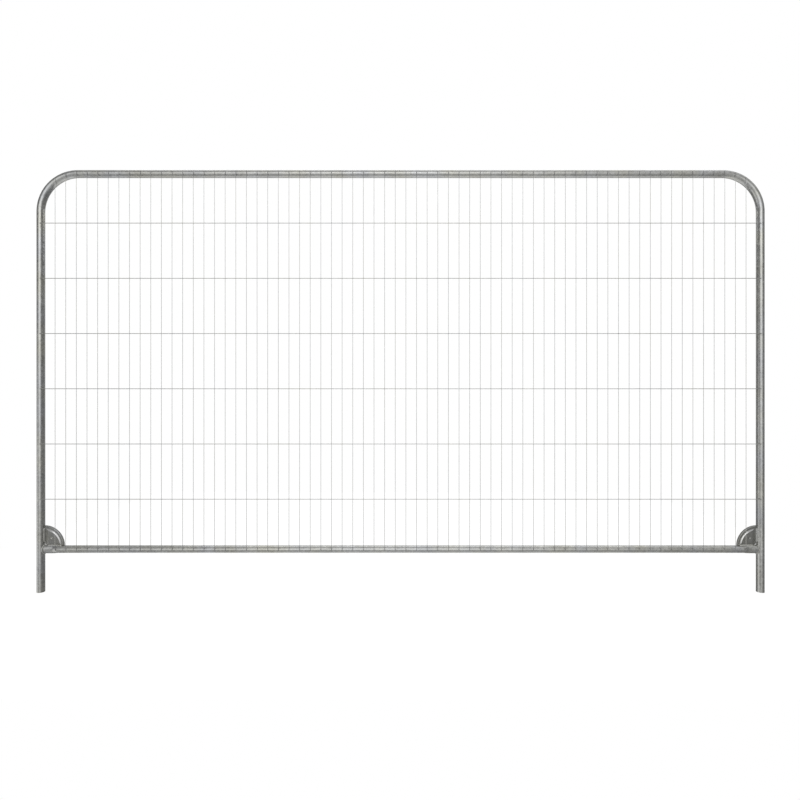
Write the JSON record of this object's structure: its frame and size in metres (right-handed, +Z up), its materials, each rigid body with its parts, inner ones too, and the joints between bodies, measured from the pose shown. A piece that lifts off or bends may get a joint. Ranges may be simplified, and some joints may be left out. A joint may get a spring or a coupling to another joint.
{
  "type": "temporary fence panel",
  "caption": "Round-topped temporary fence panel: a bent steel tube hoop with a bottom rail, corner gussets and a welded wire mesh, held upright by feet on its legs.",
  "frame": {"origin": "on the ground midway between the two legs, in the plane of the tubes' axes", "axes": "+X along the panel to the right as seen from the mesh side, +Y towards the back, +Z up; the mesh is on the -Y side"},
  "size_m": [3.45, 0.037, 2],
  "materials": {
    "tube": "hot-dip galvanised, dull and mottled",
    "gusset": "hot-dip galvanised pressed sheet",
    "weld": "galvanised weld bead",
    "wire": "bright galvanised wire"
  },
  "bodies": {
    "root": {"hoop_tube": "tube", "bottom_rail": "tube", "left_gusset": "gusset", "right_gusset": "gusset", "left_rail_weld": "weld", "right_rail_weld": "weld", "left_gusset_welds": "weld", "right_gusset_welds": "weld", "cross_wire_1": "wire", "cross_wire_2": "wire", "cross_wire_3": "wire", "cross_wire_4": "wire", "cross_wire_5": "wire", "cross_wire_6": "wire", "vertical_wires_01": "wire", "vertical_wires_02": "wire", "vertical_wires_03": "wire", "vertical_wires_04": "wire", "vertical_wires_05": "wire", "vertical_wires_06": "wire", "vertical_wires_07": "wire", "vertical_wires_08": "wire", "vertical_wires_09": "wire", "vertical_wires_10": "wire", "vertical_wires_11": "wire", "vertical_wires_12": "wire", "vertical_wires_13": "wire", "vertical_wires_14": "wire", "vertical_wires_15": "wire", "vertical_wires_16": "wire", "vertical_wires_17": "wire", "vertical_wires_18": "wire", "vertical_wires_19": "wire", "vertical_wires_20": "wire", "vertical_wires_21": "wire", "vertical_wires_22": "wire", "vertical_wires_23": "wire", "vertical_wires_24": "wire", "vertical_wires_25": "wire", "vertical_wires_26": "wire", "vertical_wires_27": "wire", "vertical_wires_28": "wire", "vertical_wires_29": "wire", "vertical_wires_30": "wire", "vertical_wires_31": "wire", "vertical_wires_32": "wire", "vertical_wires_33": "wire"}
  },
  "joints": []
}
